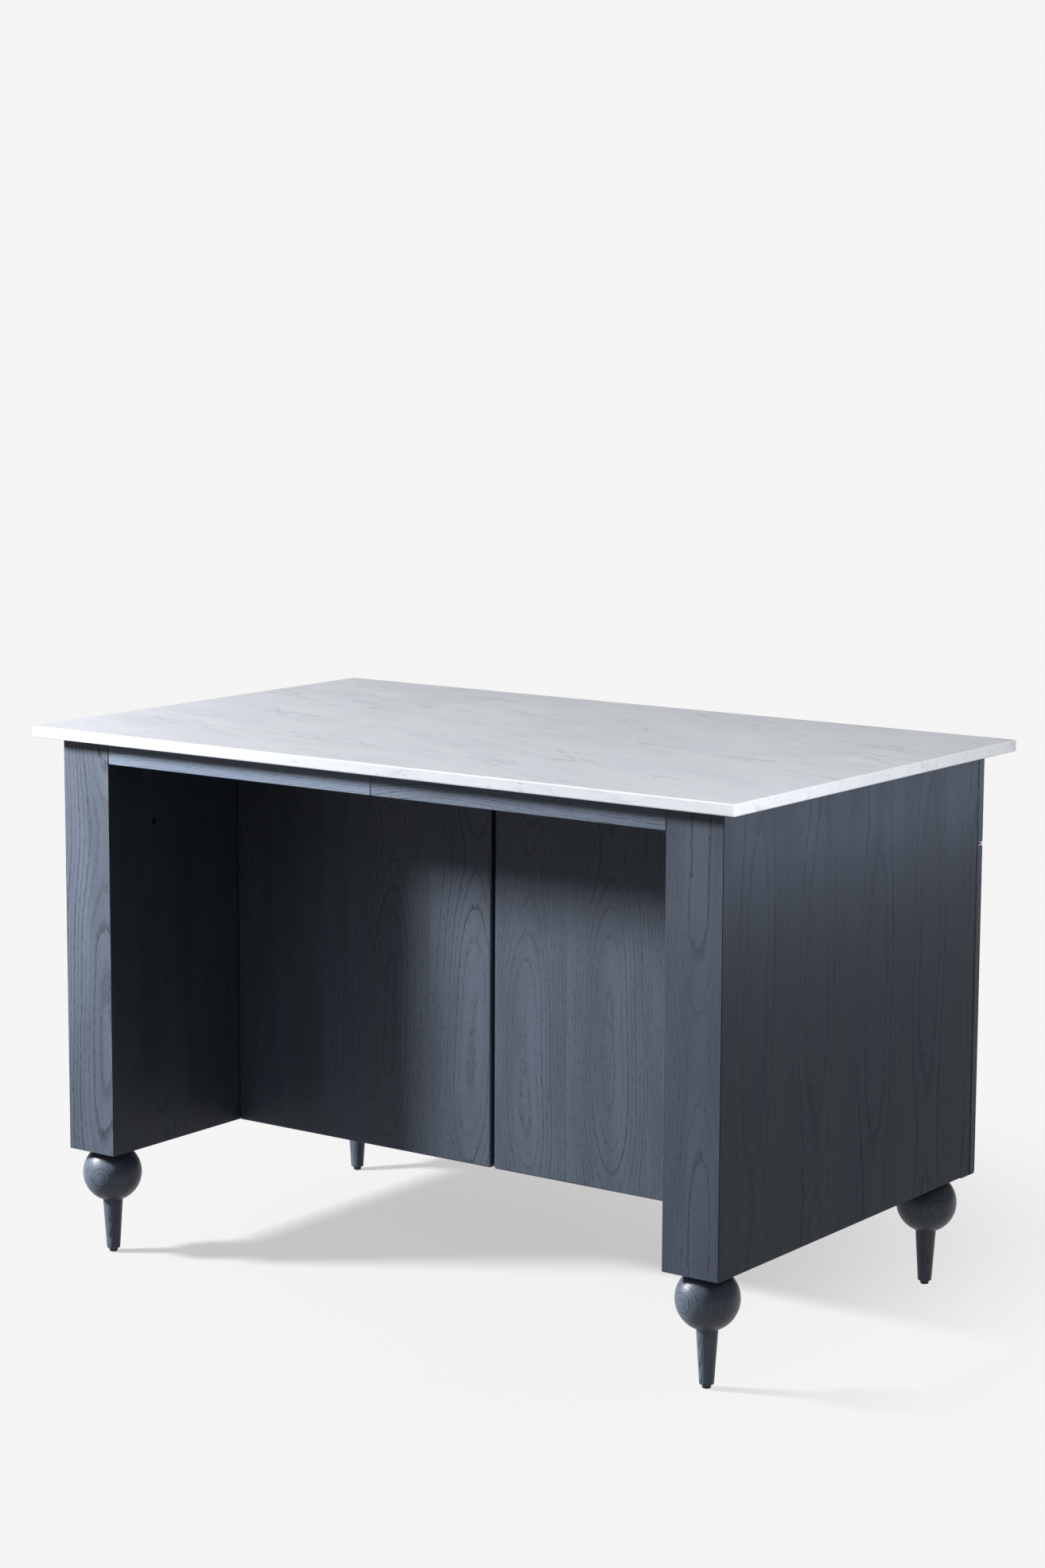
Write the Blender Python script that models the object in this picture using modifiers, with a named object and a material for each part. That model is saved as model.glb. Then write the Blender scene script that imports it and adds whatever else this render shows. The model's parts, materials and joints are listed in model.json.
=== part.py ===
"""Kitchen island with a marble top, turned ball feet, a knee space, drawers and doors.

Blender 4.5, metres, +Z up. The origin is on the floor under the middle of the top.
-Y is the seating side, with the knee space. +Y is the side with the drawers and doors.
Left is -X and right is +X.
"""

import math

import bmesh
import bpy
from mathutils import Matrix, Vector

# Top
COUNTER_HEIGHT = 0.9144
TOP_LENGTH = 1.397
TOP_DEPTH = 0.8636
TOP_THICKNESS = 0.019
TOP_CORNER_RADIUS = 0.004
TOP_EDGE_RADIUS = 0.002
OVERHANG_ENDS = 0.040
OVERHANG_SEAT = 0.036
OVERHANG_DOORS = 0.034

# Case
GAP = 0.0003  # between pieces that touch
BOARD = 0.019
CASE_BOTTOM = 0.185
WING_WIDTH = 0.1016
KNEE_DEPTH = 0.3248
APRON_HEIGHT = 0.038
JOIST_WIDTH = 0.045
CABINET_BACK_THICKNESS = 0.012
CABINET_TOP_THICKNESS = 0.015
RAIL_DEPTH = 0.080
ARRIS = 0.0008  # eased edge of the case boards
PANEL_ARRIS = 0.003  # rounded edge of the back panels
FRONT_ARRIS = 0.002  # rounded edge of the doors and drawer fronts
SIDE_REVEAL = 0.001  # between a back panel and its wing

# Doors and drawer fronts, which cover the case's edges
FRONT_THICKNESS = 0.018
FRONT_CLEARANCE = 0.0035  # behind the doors, so that their corners can turn
REVEAL = 0.0075
SPLIT_REVEAL = 0.0050  # between the drawers and the doors, with the pivot plates in it
FRONT_TOP_GAP = 0.003
SPLIT_HEIGHT = 0.7423  # middle of the gap between drawers and doors

# Shelves
SHELF_BOTTOM = 0.460
SHELF_SETBACK = 0.020

# Access hole for the bolt inside each wing
ACCESS_RADIUS = 0.0060
ACCESS_DEPTH = 0.0140
ACCESS_FROM_EDGE = 0.112
ACCESS_HEIGHT = 0.746

# Feet
FOOT_INSET = 0.0508
BALL_RADIUS = 0.0502
BALL_HEIGHT = 0.141
PEG_TOP_RADIUS = 0.0172
PEG_BOTTOM_RADIUS = 0.0115
PEG_CHAMFER = 0.0015
GLIDE_RADIUS = 0.0072
GLIDE_HEIGHT = 0.0065
GLIDE_FLAT_RADIUS = 0.0050
TENON_RADIUS = 0.0095
TENON_HEIGHT = 0.0140
TENON_HOLE_DEPTH = 0.0150
FOOT_STEPS = 32
SMALL_STEPS = 16

# Drawers, each on one slide under its middle
DRAWER_BOARD = 0.012
DRAWER_SIDE_GAP = 0.004
DRAWER_HEIGHT = 0.112
DRAWER_LENGTH = 0.380
DRAWER_LIFT = 0.0042  # of the drawer's sides above the rail
DRAWER_BOTTOM_THICKNESS = 0.006
SLIDE_STEEL = 0.0012
TRACK_WIDTH = 0.0320
TRACK_HEIGHT = 0.0082
RUNNER_WIDTH = 0.0250
RUNNER_HEIGHT = 0.0080

# Pivots
PIVOT_INSET = 0.008  # from a door's hinge edge
PIVOT_PIN_RADIUS = 0.0025
PIVOT_PIN_IN_DOOR = 0.0160
CLEARANCE_HOLE = 0.0003  # how much wider a hole is than its pin, on the radius
PIVOT_PLATE_STEEL = 0.0016
PIVOT_PLATE_WIDTH = 0.015
PIVOT_PLATE_REACH = 0.0075  # in front of the pin
PIVOT_PLATE_TAIL = 0.036
PIVOT_LEG_HEIGHT = 0.011  # short of the drawers above

# Knobs
KNOB_RADIUS = 0.0135
KNOB_PROJECTION = 0.032
KNOB_NECK_RADIUS = 0.0060
KNOB_BASE_RADIUS = 0.0075
KNOB_FROM_EDGE = 0.040
KNOB_BELOW_TOP = 0.075
KNOB_STEPS = 20

# Places worked out from the sizes above
TOP_UNDERSIDE = COUNTER_HEIGHT - TOP_THICKNESS
CASE_TOP = TOP_UNDERSIDE - GAP
END_X = TOP_LENGTH / 2 - OVERHANG_ENDS
BAY_X = END_X - BOARD
WING_X = END_X - WING_WIDTH
SEAT_Y = -TOP_DEPTH / 2 + OVERHANG_SEAT
DOOR_Y = TOP_DEPTH / 2 - OVERHANG_DOORS
CARCASS_Y = DOOR_Y - FRONT_THICKNESS - FRONT_CLEARANCE
PANEL_Y = SEAT_Y + KNEE_DEPTH
BACK_Y = PANEL_Y + BOARD
INNER_Y = BACK_Y + GAP + CABINET_BACK_THICKNESS
FLOOR_TOP = CASE_BOTTOM + BOARD
RAIL_BOTTOM = SPLIT_HEIGHT - BOARD / 2
RAIL_TOP = SPLIT_HEIGHT + BOARD / 2
DRAWER_FRONT_BOTTOM = SPLIT_HEIGHT + SPLIT_REVEAL / 2
DRAWER_FRONT_TOP = TOP_UNDERSIDE - FRONT_TOP_GAP
DOOR_TOP = SPLIT_HEIGHT - SPLIT_REVEAL / 2
FOOT_X = END_X - FOOT_INSET
FOOT_FRONT_Y = SEAT_Y + FOOT_INSET
FOOT_REAR_Y = CARCASS_Y - FOOT_INSET
PIVOT_Y = DOOR_Y - FRONT_THICKNESS / 2
BAY_CENTRE = (BOARD / 2 + BAY_X) / 2
BAY_HALF = (BAY_X - BOARD / 2) / 2

SIDES = {"left": -1, "right": 1}
UP = Vector((0, 0, 1))
DOWN = Vector((0, 0, -1))

# Colour, roughness and metallic of each finish
FINISHES = {
    "stained_oak": ((0.092, 0.122, 0.165), 0.55, 0.0),
    "marble": ((0.78, 0.79, 0.81), 0.25, 0.0),
    "pale_wood": ((0.58, 0.42, 0.26), 0.60, 0.0),
    "zinc_steel": ((0.60, 0.61, 0.62), 0.35, 1.0),
    "black_plastic": ((0.020, 0.018, 0.017), 0.60, 0.0),
}


def clear_scene():
    for thing in list(bpy.data.objects):
        bpy.data.objects.remove(thing)


def new_collection(name):
    collection = bpy.data.collections.new(name)
    bpy.context.scene.collection.children.link(collection)
    return collection


def new_material(name):
    colour, roughness, metallic = FINISHES[name]
    material = bpy.data.materials.new(name)
    material.use_nodes = True
    shader = material.node_tree.nodes["Principled BSDF"]
    shader.inputs["Base Color"].default_value = (*colour, 1.0)
    shader.inputs["Roughness"].default_value = roughness
    shader.inputs["Metallic"].default_value = metallic
    material.diffuse_color = (*colour, 1.0)
    return material


clear_scene()
PARTS = new_collection("kitchen_island")
CUTTERS = new_collection("cutters")
MATERIALS = {name: new_material(name) for name in FINISHES}


def add_part(name, bm, place, finish, parent=None):
    """Makes the named sub-part from a bmesh in its own coordinates, at a place in the world."""
    mesh = bpy.data.meshes.new(name)
    bm.to_mesh(mesh)
    bm.free()
    mesh.materials.append(MATERIALS[finish])
    part = bpy.data.objects.new(name, mesh)
    part.location = place
    PARTS.objects.link(part)
    if parent is not None:
        part.parent = parent
        part.matrix_parent_inverse = Matrix.Translation(parent.location).inverted()
    return part


def add_axis(name, place):
    """An empty on a joint's axis, for the pieces that move together to hang on."""
    axis = bpy.data.objects.new(name, None)
    axis.location = place
    axis.empty_display_size = 0.05
    PARTS.objects.link(axis)
    return axis


def add_bevel(part, width, segments, smallest_angle=30):
    bevel = part.modifiers.new("eased_edges", "BEVEL")
    bevel.width = width
    bevel.segments = segments
    bevel.limit_method = "ANGLE"
    bevel.angle_limit = math.radians(smallest_angle)
    bevel.use_clamp_overlap = True


def board(name, x, y, z, finish, arris=ARRIS, segments=1, parent=None):
    """A flat board that fills the given spans along X, Y and Z."""
    low = Vector((x[0], y[0], z[0]))
    high = Vector((x[1], y[1], z[1]))
    bm = bmesh.new()
    bmesh.ops.create_cube(bm, size=1.0)
    bmesh.ops.scale(bm, vec=high - low, verts=bm.verts)
    part = add_part(name, bm, (low + high) / 2, finish, parent)
    if arris:
        add_bevel(part, arris, segments)
    return part


def sided(side, a, b):
    """The span from a to b on the right-hand side, or its mirror image on the left."""
    return tuple(sorted((side * a, side * b)))


def saw(part, point, normal):
    """Cuts off what lies beyond a plane in the world, and closes the cut."""
    bm = bmesh.new()
    bm.from_mesh(part.data)
    everything = bm.verts[:] + bm.edges[:] + bm.faces[:]
    cut = bmesh.ops.bisect_plane(
        bm, geom=everything, plane_co=point - part.location, plane_no=normal, clear_outer=True
    )
    edges = [piece for piece in cut["geom_cut"] if isinstance(piece, bmesh.types.BMEdge)]
    bmesh.ops.edgeloop_fill(bm, edges=edges)
    bmesh.ops.recalc_face_normals(bm, faces=bm.faces[:])
    bm.to_mesh(part.data)
    bm.free()


def mitre(part, corner, across, outward):
    """Mitres a board along the vertical edge through corner, and eases that edge.

    across points over the joint to the other board, and outward out of the corner.
    """
    edge = Vector((*corner, CASE_BOTTOM))
    across = Vector((*across, 0)).normalized()
    outward = Vector((*outward, 0)).normalized()
    saw(part, edge - across * GAP / 2, across)
    saw(part, edge - outward * ARRIS, outward)


def add_rod(bm, start, direction, length, radius, segments=SMALL_STEPS):
    """Adds a closed cylinder to a bmesh."""
    turn = direction.to_track_quat("Z", "Y").to_matrix().to_4x4()
    middle = Matrix.Translation(start + direction * length / 2)
    bmesh.ops.create_cone(
        bm,
        cap_ends=True,
        segments=segments,
        radius1=radius,
        radius2=radius,
        depth=length,
        matrix=middle @ turn,
    )


def round_tools(name, places):
    """A hidden helper made of round rods, from (start, direction, length, radius) rows."""
    bm = bmesh.new()
    for start, direction, length, radius in places:
        add_rod(bm, start, direction, length, radius)
    mesh = bpy.data.meshes.new(name)
    bm.to_mesh(mesh)
    bm.free()
    tool = bpy.data.objects.new(name, mesh)
    tool.hide_render = True
    tool.display_type = "WIRE"
    CUTTERS.objects.link(tool)
    return tool


def add_boolean(part, operation, tool):
    boolean = part.modifiers.new(operation.lower(), "BOOLEAN")
    boolean.operation = operation
    boolean.solver = "EXACT"
    boolean.object = tool


def drill(part, holes):
    """Bores round holes in a part, from (start, direction, depth, radius) rows."""
    overshoot = 0.001
    bits = [(start - way * overshoot, way, depth + overshoot, r) for start, way, depth, r in holes]
    add_boolean(part, "DIFFERENCE", round_tools(part.name + "_holes", bits))


def weld_pins(part, pins):
    """Joins round pins to a part, from (start, direction, length, radius) rows."""
    add_boolean(part, "UNION", round_tools(part.name + "_pins", pins))


def turned(name, profile, place, finish, steps, parent=None):
    """A turned piece. Its profile of (radius, height) runs down the outer side."""
    bm = bmesh.new()
    points = [bm.verts.new((radius, 0, height)) for radius, height in profile]
    for here, there in zip(points, points[1:]):
        bm.edges.new((here, there))
    part = add_part(name, bm, place, finish, parent)
    screw = part.modifiers.new("turned", "SCREW")
    screw.axis = "Z"
    screw.angle = math.tau
    screw.steps = steps
    screw.render_steps = steps
    screw.use_merge_vertices = True
    screw.merge_threshold = 0.00001
    screw.use_smooth_shade = True
    return part


def ball_side(centre_height, radius, from_radius, to_radius, steps):
    """Points down a ball's side, from its upper half to its lower half."""
    start = math.asin(from_radius / radius)
    end = math.pi - math.asin(to_radius / radius)
    angles = [start + (end - start) * i / steps for i in range(steps + 1)]
    return [(radius * math.sin(a), centre_height + radius * math.cos(a)) for a in angles]


def sheet_metal(name, path, along, place, thickness, finish, parent=None):
    """A strip bent along a path of points, and drawn out along a vector."""
    bm = bmesh.new()
    near = [bm.verts.new(point) for point in path]
    far = [bm.verts.new(Vector(point) + Vector(along)) for point in path]
    for i in range(len(path) - 1):
        bm.faces.new((near[i], near[i + 1], far[i + 1], far[i]))
    part = add_part(name, bm, place, finish, parent)
    solid = part.modifiers.new("sheet", "SOLIDIFY")
    solid.thickness = thickness
    solid.offset = 0.0
    solid.use_even_offset = True
    return part


def make_top():
    bm = bmesh.new()
    bmesh.ops.create_cube(bm, size=1.0)
    bmesh.ops.scale(bm, vec=(TOP_LENGTH, TOP_DEPTH, TOP_THICKNESS), verts=bm.verts)
    half_thickness = TOP_THICKNESS / 2
    upright = [
        edge
        for edge in bm.edges
        if abs(edge.verts[0].co.z - edge.verts[1].co.z) > half_thickness
    ]
    bmesh.ops.bevel(
        bm, geom=upright, offset=TOP_CORNER_RADIUS, segments=4, affect="EDGES", profile=0.5
    )
    middle = COUNTER_HEIGHT - half_thickness
    top = add_part("marble_top", bm, Vector((0, 0, middle)), "marble")
    add_bevel(top, TOP_EDGE_RADIUS, 2, smallest_angle=50)


def make_wings():
    """The thick ends of the case, on each side of the knee space."""
    height = (CASE_BOTTOM, CASE_TOP)
    for word, side in SIDES.items():
        outer = (side * END_X, SEAT_Y)
        inner = (side * WING_X, SEAT_Y)
        out_of_end = (side, -1)
        into_knees = (-side, -1)

        end = board(
            f"end_panel_{word}",
            sided(side, BAY_X, END_X),
            (SEAT_Y, CARCASS_Y),
            height,
            "stained_oak",
            arris=0,
        )
        mitre(end, outer, (-side, -1), out_of_end)

        stile = board(
            f"wing_stile_{word}",
            sided(side, WING_X, END_X),
            (SEAT_Y, SEAT_Y + BOARD),
            height,
            "stained_oak",
            arris=0,
        )
        mitre(stile, outer, (side, 1), out_of_end)
        mitre(stile, inner, (-side, 1), into_knees)

        skin = board(
            f"wing_inner_{word}",
            sided(side, WING_X, WING_X + BOARD),
            (SEAT_Y, BACK_Y),
            height,
            "stained_oak",
            arris=0,
        )
        mitre(skin, inner, (side, -1), into_knees)
        hole = Vector((side * WING_X, SEAT_Y + ACCESS_FROM_EDGE, ACCESS_HEIGHT))
        drill(skin, [(hole, Vector((side, 0, 0)), ACCESS_DEPTH, ACCESS_RADIUS)])

        base = board(
            f"wing_base_{word}",
            sided(side, WING_X + BOARD + GAP, BAY_X - GAP),
            (SEAT_Y + BOARD + GAP, BACK_Y),
            (CASE_BOTTOM, FLOOR_TOP),
            "stained_oak",
            arris=0,
        )
        drill(base, [tenon_hole(side, FOOT_FRONT_Y)])


def make_knee_space():
    """The apron over the knees, its joist, and the panels behind the knees."""
    apron_height = (CASE_TOP - APRON_HEIGHT, CASE_TOP)
    for word, side in SIDES.items():
        board(
            f"apron_{word}",
            sided(side, GAP, WING_X - GAP),
            (SEAT_Y, SEAT_Y + BOARD),
            apron_height,
            "stained_oak",
        )
        board(
            f"back_panel_{word}",
            sided(side, REVEAL / 2, WING_X - SIDE_REVEAL),
            (PANEL_Y, BACK_Y),
            (CASE_BOTTOM, CASE_TOP),
            "stained_oak",
            arris=PANEL_ARRIS,
            segments=2,
        )
    board(
        "knee_joist",
        (-JOIST_WIDTH / 2, JOIST_WIDTH / 2),
        (SEAT_Y + BOARD + GAP, PANEL_Y - GAP),
        apron_height,
        "stained_oak",
    )


def make_cabinet():
    """The boards behind the doors and drawers."""
    width = (-BAY_X + GAP, BAY_X - GAP)
    depth = (INNER_Y + GAP, CARCASS_Y)
    board(
        "cabinet_back",
        width,
        (BACK_Y + GAP, INNER_Y),
        (CASE_BOTTOM, CASE_TOP),
        "stained_oak",
        arris=0,
    )
    floor = board("cabinet_floor", width, depth, (CASE_BOTTOM, FLOOR_TOP), "stained_oak", arris=0)
    drill(floor, [tenon_hole(side, FOOT_REAR_Y) for side in SIDES.values()])
    lid_bottom = CASE_TOP - CABINET_TOP_THICKNESS
    board("cabinet_top", width, depth, (lid_bottom, CASE_TOP), "stained_oak", arris=0)
    board(
        "centre_divider",
        (-BOARD / 2, BOARD / 2),
        depth,
        (FLOOR_TOP + GAP, lid_bottom - GAP),
        "stained_oak",
        arris=0,
    )
    for word, side in SIDES.items():
        bay = sided(side, BOARD / 2 + GAP, BAY_X - GAP)
        board(
            f"drawer_rail_{word}",
            bay,
            (CARCASS_Y - RAIL_DEPTH, CARCASS_Y),
            (RAIL_BOTTOM, RAIL_TOP),
            "stained_oak",
            arris=0,
        )
        board(
            f"shelf_{word}",
            bay,
            (INNER_Y + GAP, CARCASS_Y - SHELF_SETBACK),
            (SHELF_BOTTOM, SHELF_BOTTOM + BOARD),
            "stained_oak",
        )


def tenon_hole(side, y):
    """The hole for a foot's tenon, bored up from the case's underside."""
    start = Vector((side * FOOT_X, y, CASE_BOTTOM))
    return (start, UP, TENON_HOLE_DEPTH, TENON_RADIUS + CLEARANCE_HOLE)


def make_feet():
    """A tenon, a ball and a tapered peg turned from one piece of wood, on a glide."""
    seat = CASE_BOTTOM - GAP
    flat_radius = math.sqrt(BALL_RADIUS**2 - (seat - BALL_HEIGHT) ** 2)
    foot = [(0, seat + TENON_HEIGHT), (TENON_RADIUS, seat + TENON_HEIGHT), (TENON_RADIUS, seat)]
    foot += ball_side(BALL_HEIGHT, BALL_RADIUS, flat_radius, PEG_TOP_RADIUS, 10)
    foot += [
        (PEG_BOTTOM_RADIUS, GLIDE_HEIGHT + PEG_CHAMFER),
        (PEG_BOTTOM_RADIUS - PEG_CHAMFER, GLIDE_HEIGHT),
        (0, GLIDE_HEIGHT),
    ]
    glide_top = GLIDE_HEIGHT - GAP
    dome = GLIDE_RADIUS - GLIDE_FLAT_RADIUS
    shoulder = dome * (1 - math.sqrt(0.5))
    glide = [
        (0, glide_top),
        (GLIDE_RADIUS, glide_top),
        (GLIDE_RADIUS, dome),
        (GLIDE_RADIUS - shoulder, shoulder),
        (GLIDE_FLAT_RADIUS, 0),
        (0, 0),
    ]
    for end, y in {"front": FOOT_FRONT_Y, "rear": FOOT_REAR_Y}.items():
        for word, side in SIDES.items():
            place = Vector((side * FOOT_X, y, 0))
            turned(f"foot_{end}_{word}", foot, place, "stained_oak", FOOT_STEPS)
            turned(f"glide_{end}_{word}", glide, place, "black_plastic", SMALL_STEPS)


def channel(name, side, width, web_height, lip_height, y, parent=None):
    """A folded steel channel along Y under the middle of a drawer."""
    half = width / 2
    path = [(-half, 0, lip_height), (-half, 0, web_height), (half, 0, web_height)]
    path.append((half, 0, lip_height))
    place = Vector((side * BAY_CENTRE, y[0], 0))
    along = (0, y[1] - y[0], 0)
    return sheet_metal(name, path, along, place, SLIDE_STEEL, "zinc_steel", parent)


def make_drawer(word, side):
    """A box of thin boards behind a front, on a runner that slides in a fixed track."""
    middle = side * BAY_CENTRE
    box_half = BAY_HALF - DRAWER_SIDE_GAP
    front_back = DOOR_Y - FRONT_THICKNESS
    half_steel = SLIDE_STEEL / 2
    track_web = RAIL_TOP + GAP + half_steel
    runner_web = track_web + TRACK_HEIGHT
    axis = add_axis(f"drawer_axis_{word}", Vector((middle, front_back, runner_web)))

    y_rear = front_back - GAP - DRAWER_LENGTH
    y_front = front_back - GAP
    z_low = RAIL_TOP + DRAWER_LIFT
    z_high = z_low + DRAWER_HEIGHT
    bottom_low = runner_web + half_steel + GAP
    bottom_high = bottom_low + DRAWER_BOTTOM_THICKNESS
    inside = (middle - box_half + DRAWER_BOARD + GAP, middle + box_half - DRAWER_BOARD - GAP)

    board(
        f"drawer_front_{word}",
        sided(side, REVEAL / 2, END_X),
        (front_back, DOOR_Y),
        (DRAWER_FRONT_BOTTOM, DRAWER_FRONT_TOP),
        "stained_oak",
        arris=FRONT_ARRIS,
        segments=2,
        parent=axis,
    )
    for hand, way in SIDES.items():
        board(
            f"drawer_side_{hand}_{word}",
            tuple(sorted((middle + way * box_half, middle + way * (box_half - DRAWER_BOARD)))),
            (y_rear, y_front),
            (z_low, z_high),
            "pale_wood",
            parent=axis,
        )
    board(
        f"drawer_back_{word}",
        inside,
        (y_rear, y_rear + DRAWER_BOARD),
        (bottom_high + GAP, z_high),
        "pale_wood",
        parent=axis,
    )
    board(
        f"drawer_bottom_{word}",
        inside,
        (y_rear, y_front),
        (bottom_low, bottom_high),
        "pale_wood",
        arris=0,
        parent=axis,
    )
    make_knob(
        f"drawer_knob_{word}",
        side * (END_X + REVEAL / 2) / 2,
        (DRAWER_FRONT_BOTTOM + DRAWER_FRONT_TOP) / 2,
        axis,
    )
    channel(
        f"slide_track_{word}",
        side,
        TRACK_WIDTH,
        track_web,
        track_web + TRACK_HEIGHT - SLIDE_STEEL,
        (INNER_Y + GAP, CARCASS_Y),
    )
    channel(
        f"slide_runner_{word}",
        side,
        RUNNER_WIDTH,
        runner_web,
        runner_web - RUNNER_HEIGHT + 2 * SLIDE_STEEL,
        (y_rear, y_front),
        axis,
    )


def make_knob(name, x, height, parent):
    """A ball on a tapered neck, standing out of a front along +Y."""
    ball_height = KNOB_PROJECTION - KNOB_RADIUS
    top_radius = KNOB_RADIUS * 0.35
    profile = [(0, KNOB_PROJECTION)]
    profile += ball_side(ball_height, KNOB_RADIUS, top_radius, KNOB_NECK_RADIUS, 7)
    profile += [(KNOB_BASE_RADIUS, GAP), (0, GAP)]
    knob = turned(name, profile, Vector((x, DOOR_Y, height)), "stained_oak", KNOB_STEPS, parent)
    knob.rotation_euler = (-math.pi / 2, 0, 0)
    return knob


def door_places():
    """Each door's name, side, span on the right-hand side, pivot and knob."""
    width = (END_X - REVEAL / 2 - REVEAL) / 2
    inner = (REVEAL / 2, REVEAL / 2 + width)
    outer = (END_X - width, END_X)
    for word, side in SIDES.items():
        yield f"inner_{word}", side, inner, inner[0] + PIVOT_INSET, inner[1] - KNOB_FROM_EDGE
        yield f"outer_{word}", side, outer, outer[1] - PIVOT_INSET, outer[0] + KNOB_FROM_EDGE


def make_doors():
    """Four doors, each hung on a pin in its bottom edge and one in its top edge."""
    depth = PIVOT_PIN_IN_DOOR + CLEARANCE_HOLE
    radius = PIVOT_PIN_RADIUS + CLEARANCE_HOLE
    for name, side, span, pivot_x, knob_x in door_places():
        foot_of_axis = Vector((side * pivot_x, PIVOT_Y, CASE_BOTTOM))
        head_of_axis = Vector((side * pivot_x, PIVOT_Y, DOOR_TOP))
        axis = add_axis(f"door_axis_{name}", foot_of_axis)
        door = board(
            f"door_{name}",
            sided(side, *span),
            (DOOR_Y - FRONT_THICKNESS, DOOR_Y),
            (CASE_BOTTOM, DOOR_TOP),
            "stained_oak",
            arris=FRONT_ARRIS,
            segments=2,
            parent=axis,
        )
        drill(door, [(foot_of_axis, UP, depth, radius), (head_of_axis, DOWN, depth, radius)])
        make_knob(f"door_knob_{name}", side * knob_x, DOOR_TOP - KNOB_BELOW_TOP, axis)


def make_pivot_brackets():
    """Steel plates with the doors' pins: flat under the case, and bent over the doors.

    The two doors that hang on the centre divider share one wider plate.
    """
    inner_pivot = REVEAL / 2 + PIVOT_INSET
    outer_pivot = END_X - PIVOT_INSET
    plates = {
        "left": [-outer_pivot],
        "centre": [-inner_pivot, inner_pivot],
        "right": [outer_pivot],
    }
    tip = PIVOT_Y + PIVOT_PLATE_REACH
    half_steel = PIVOT_PLATE_STEEL / 2
    under = CASE_BOTTOM - GAP - half_steel
    leg = CARCASS_Y + GAP + half_steel
    for word, pivots in plates.items():
        x = min(pivots) - PIVOT_PLATE_WIDTH / 2
        along = (max(pivots) - min(pivots) + PIVOT_PLATE_WIDTH, 0, 0)
        flat = [(x, PIVOT_Y - PIVOT_PLATE_TAIL, under), (x, tip, under)]
        bent = [
            (x, leg, SPLIT_HEIGHT + PIVOT_LEG_HEIGHT),
            (x, leg, SPLIT_HEIGHT),
            (x, tip, SPLIT_HEIGHT),
        ]
        ends = {
            "bottom": (flat, Vector((0, 0, under)), CASE_BOTTOM + PIVOT_PIN_IN_DOOR, UP),
            "top": (bent, Vector((0, 0, SPLIT_HEIGHT)), DOOR_TOP - PIVOT_PIN_IN_DOOR, DOWN),
        }
        for end, (path, start, tip_height, way) in ends.items():
            plate = sheet_metal(
                f"pivot_{end}_{word}", path, along, Vector(), PIVOT_PLATE_STEEL, "zinc_steel"
            )
            length = abs(tip_height - start.z)
            pins = [(start + Vector((p, PIVOT_Y, 0)), way, length, PIVOT_PIN_RADIUS) for p in pivots]
            weld_pins(plate, pins)


make_top()
make_wings()
make_knee_space()
make_cabinet()
make_feet()
for drawer_word, drawer_side in SIDES.items():
    make_drawer(drawer_word, drawer_side)
make_doors()
make_pivot_brackets()
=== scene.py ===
"""Looks of the kitchen island: stained oak, marble, pale wood, steel and plastic in a pale studio.

Metres, +Z up. -Y is the seating side, +Y the side with the doors, left is -X and right is +X.
"""

import json
import math

import bmesh
import bpy
from mathutils import Matrix, Vector

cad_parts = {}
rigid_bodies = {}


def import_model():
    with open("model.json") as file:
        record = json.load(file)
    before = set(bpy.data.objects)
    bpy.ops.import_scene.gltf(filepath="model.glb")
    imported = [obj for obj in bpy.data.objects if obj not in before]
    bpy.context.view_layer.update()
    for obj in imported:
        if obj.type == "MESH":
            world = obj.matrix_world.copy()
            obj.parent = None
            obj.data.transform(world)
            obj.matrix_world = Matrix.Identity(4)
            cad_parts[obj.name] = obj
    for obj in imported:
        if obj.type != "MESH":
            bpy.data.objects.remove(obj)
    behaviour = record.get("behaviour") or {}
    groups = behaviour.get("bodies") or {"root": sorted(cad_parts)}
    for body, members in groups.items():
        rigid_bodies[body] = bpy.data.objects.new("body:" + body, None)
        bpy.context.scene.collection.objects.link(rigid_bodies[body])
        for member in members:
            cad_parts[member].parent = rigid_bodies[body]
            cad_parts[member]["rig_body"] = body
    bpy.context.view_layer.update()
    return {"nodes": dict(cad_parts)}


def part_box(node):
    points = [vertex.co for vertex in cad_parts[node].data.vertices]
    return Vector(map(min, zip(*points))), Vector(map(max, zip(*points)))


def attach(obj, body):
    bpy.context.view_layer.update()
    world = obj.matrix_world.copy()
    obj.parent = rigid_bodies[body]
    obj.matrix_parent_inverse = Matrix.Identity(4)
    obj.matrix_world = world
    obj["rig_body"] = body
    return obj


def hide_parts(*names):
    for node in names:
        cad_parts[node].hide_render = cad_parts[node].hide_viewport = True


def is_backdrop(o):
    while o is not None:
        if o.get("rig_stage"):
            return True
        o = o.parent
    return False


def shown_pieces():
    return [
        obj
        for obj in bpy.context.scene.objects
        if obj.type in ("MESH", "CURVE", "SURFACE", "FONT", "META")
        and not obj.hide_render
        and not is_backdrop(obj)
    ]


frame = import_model()

SIDES = ("left", "right")

# Camera
CAMERA_PLACE = Vector((3.2891, -4.5255, 1.6741))
CAMERA_YAW = math.radians(35.9419)
CAMERA_PITCH = math.radians(-8.5992)
CAMERA_ROLL = math.radians(0.2509)
CAMERA_LENS = 78.06
CAMERA_SENSOR = 36.0

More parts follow.
